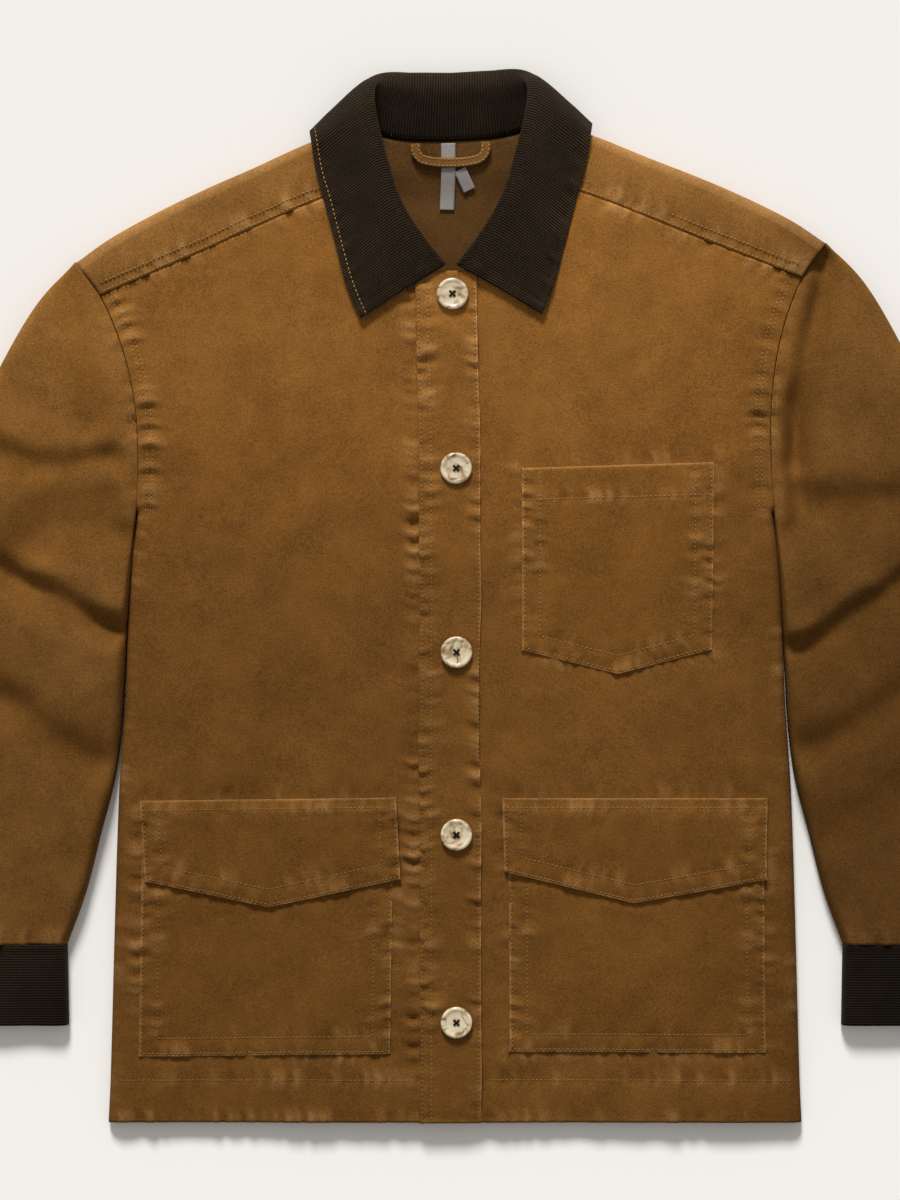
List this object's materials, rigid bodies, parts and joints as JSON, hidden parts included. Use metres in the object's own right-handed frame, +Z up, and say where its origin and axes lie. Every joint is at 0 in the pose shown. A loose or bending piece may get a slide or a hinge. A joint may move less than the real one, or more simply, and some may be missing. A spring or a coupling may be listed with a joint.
{
  "type": "barn jacket",
  "caption": "Barn jacket laid flat on its back: canvas body and sleeves, corduroy collar and cuffs, buttoned front placket, patch pockets with pointed flaps.",
  "frame": {"origin": "on the surface the jacket lies on, at the middle of its outline", "axes": "+X to the wearer's left sleeve, +Y from hem to collar, +Z up from the surface"},
  "size_m": [0.8364, 0.7688, 0.0295],
  "materials": {
    "canvas": "washed tan-brown cotton canvas",
    "corduroy": "dark brown fine-wale corduroy",
    "ribbon": "plain silver-grey woven ribbon",
    "button": "marbled cream and brown horn look"
  },
  "bodies": {
    "root": {"front_left": "canvas", "front_right": "canvas", "back": "canvas", "sleeve_left": "canvas", "cuff_left": "corduroy", "sleeve_right": "canvas", "cuff_right": "corduroy", "collar": "corduroy", "chest_pocket": "canvas", "pocket_right": "canvas", "flap_right": "canvas", "pocket_left": "canvas", "flap_left": "canvas", "placket": "canvas", "hang_loop": "canvas", "label_long": "ribbon", "label_short": "ribbon", "button_1": "button", "button_2": "button", "button_3": "button", "button_4": "button", "button_5": "button"}
  },
  "joints": []
}
